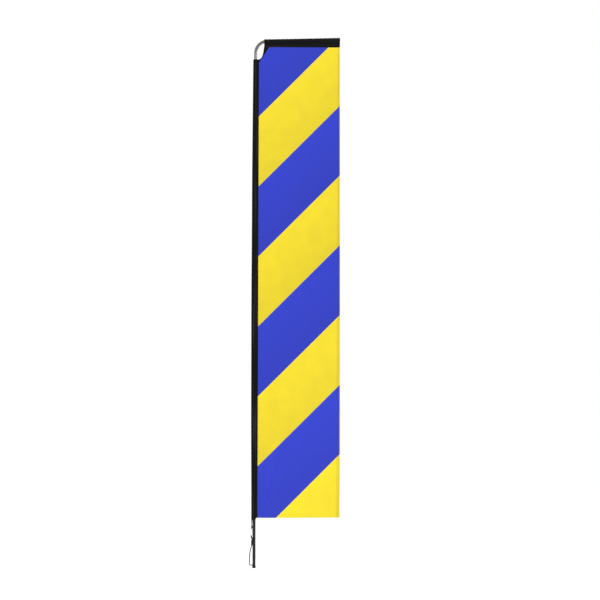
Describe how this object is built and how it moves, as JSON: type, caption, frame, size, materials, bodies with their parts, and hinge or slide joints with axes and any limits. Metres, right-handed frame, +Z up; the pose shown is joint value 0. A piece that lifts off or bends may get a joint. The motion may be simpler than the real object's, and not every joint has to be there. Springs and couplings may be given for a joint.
{
  "type": "rectangular banner flag with plug-in pole",
  "caption": "Tall rectangular cloth banner with side and top sleeves on a plug-in tube pole, bare bent corner elbow, short top arm and a knotted elastic tension cord at the foot.",
  "frame": {"origin": "on the pole's axis at its bottom end, where a base holds the pole", "axes": "+Z up along the pole, +X from the pole along the top arm, the printed face towards -Y"},
  "size_m": [0.7703, 0.0764, 4.5018],
  "materials": {
    "pole_tube": "dark grey anodised, satin",
    "ferrule": "drawn",
    "rivet": "plain",
    "elbow_tube": "brushed silver",
    "plastic": "moulded black",
    "print_cloth": "printed knitted polyester, yellow and blue",
    "black_cloth": "black woven polyester",
    "webbing": "black webbing",
    "elastic_cord": "black braided elastic",
    "link_wire": "zinc plated wire"
  },
  "bodies": {
    "pole_foot": {"pole_section_1": "pole_tube", "foot_collar": "plastic", "ferrule_1": "ferrule", "ferrule_rivet_1": "rivet"},
    "section_2": {"pole_section_2": "pole_tube", "ferrule_2": "ferrule", "ferrule_rivet_2": "rivet"},
    "section_3": {"pole_section_3": "pole_tube", "ferrule_3": "ferrule", "ferrule_rivet_3": "rivet"},
    "section_4": {"pole_section_4": "pole_tube"},
    "swivel": {"elbow_spigot": "ferrule"},
    "top": {"corner_elbow": "elbow_tube", "arm_tube": "elbow_tube", "arm_ferrule": "ferrule", "arm_rivet": "rivet", "arm_end_cap": "plastic", "banner_panel": "print_cloth", "side_sleeve": "black_cloth", "top_sleeve": "black_cloth", "corner_binding": "black_cloth", "end_patch": "black_cloth", "sleeve_tab": "webbing", "tension_cord": "elastic_cord"},
    "tension": {"cord_end": "plastic", "tension_link": "link_wire"},
    "loop": {"upper_bight": "elastic_cord", "loop_knot": "elastic_cord", "hanging_loop": "elastic_cord"}
  },
  "joints": [
    {"name": "section_2_pull", "type": "slide", "parent": "pole_foot", "child": "section_2", "axis": [0, 0, 1], "range_m": [0, 0.1]},
    {"name": "section_3_pull", "type": "slide", "parent": "section_2", "child": "section_3", "axis": [0, 0, 1], "range_m": [0, 0.1]},
    {"name": "section_4_pull", "type": "slide", "parent": "section_3", "child": "section_4", "axis": [0, 0, 1], "range_m": [0, 0.1]},
    {"name": "swivel_pull", "type": "slide", "parent": "section_4", "child": "swivel", "axis": [0, 0, 1], "range_m": [0, 0.1]},
    {"name": "banner_turn", "type": "hinge", "parent": "swivel", "child": "top", "pos_m": [0, 0, 4.3], "axis": [0, 0, 1], "continuous": true},
    {"name": "cord_stretch", "type": "slide", "parent": "top", "child": "tension", "axis": [0, 0, -1], "range_m": [0, 0.06], "stiffness_N_per_m": 300, "springref_m": -0.003, "deforming": ["tension_cord"]},
    {"name": "loop_swing", "type": "hinge", "parent": "tension", "child": "loop", "pos_m": [-0.023, -0.004, 0.266], "axis": [-1, 0, 0], "range_deg": [0, 80]}
  ]
}
